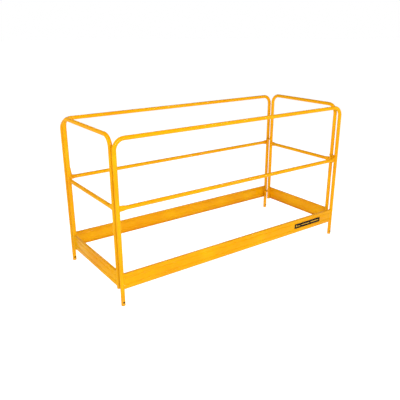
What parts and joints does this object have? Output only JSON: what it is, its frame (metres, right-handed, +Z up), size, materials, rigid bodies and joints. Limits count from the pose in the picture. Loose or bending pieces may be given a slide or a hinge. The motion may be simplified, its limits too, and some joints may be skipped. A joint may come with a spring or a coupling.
{
  "type": "scaffold guardrail set",
  "caption": "Drop-on guardrail set for a baker scaffold: long side panels with legs, end panels between them, mid rails and toe boards.",
  "frame": {"origin": "midway between the four legs, level with their lower ends", "axes": "+X along the length towards the right end panel, -Y out of the labelled front panel, +Z up"},
  "size_m": [1.8554, 0.7754, 1.0302],
  "materials": {
    "powder_coat": "gloss yellow powder coat with light orange peel on steel tube and sheet",
    "label_film": "black printed film with plain yellow bars"
  },
  "bodies": {
    "side_panels": {"back_hoop": "powder_coat", "back_left_lower_sleeve": "powder_coat", "back_left_upper_sleeve": "powder_coat", "back_mid_rail": "powder_coat", "back_right_lower_sleeve": "powder_coat", "back_right_upper_sleeve": "powder_coat", "back_toe_board": "powder_coat", "front_hoop": "powder_coat", "front_label": "label_film", "front_left_lower_sleeve": "powder_coat", "front_left_upper_sleeve": "powder_coat", "front_mid_rail": "powder_coat", "front_right_lower_sleeve": "powder_coat", "front_right_upper_sleeve": "powder_coat", "front_toe_board": "powder_coat"},
    "left_end": {"left_back_lower_hook": "powder_coat", "left_back_upper_hook": "powder_coat", "left_front_lower_hook": "powder_coat", "left_front_upper_hook": "powder_coat", "left_hoop": "powder_coat", "left_mid_rail": "powder_coat", "left_toe_board": "powder_coat"},
    "right_end": {"right_back_lower_hook": "powder_coat", "right_back_upper_hook": "powder_coat", "right_front_lower_hook": "powder_coat", "right_front_upper_hook": "powder_coat", "right_hoop": "powder_coat", "right_mid_rail": "powder_coat", "right_toe_board": "powder_coat"}
  },
  "joints": [
    {"name": "left_end_lift", "type": "slide", "parent": "side_panels", "child": "left_end", "axis": [0, 0, 1], "range_m": [0, 0.1]},
    {"name": "right_end_lift", "type": "slide", "parent": "side_panels", "child": "right_end", "axis": [0, 0, 1], "range_m": [0, 0.1]}
  ]
}
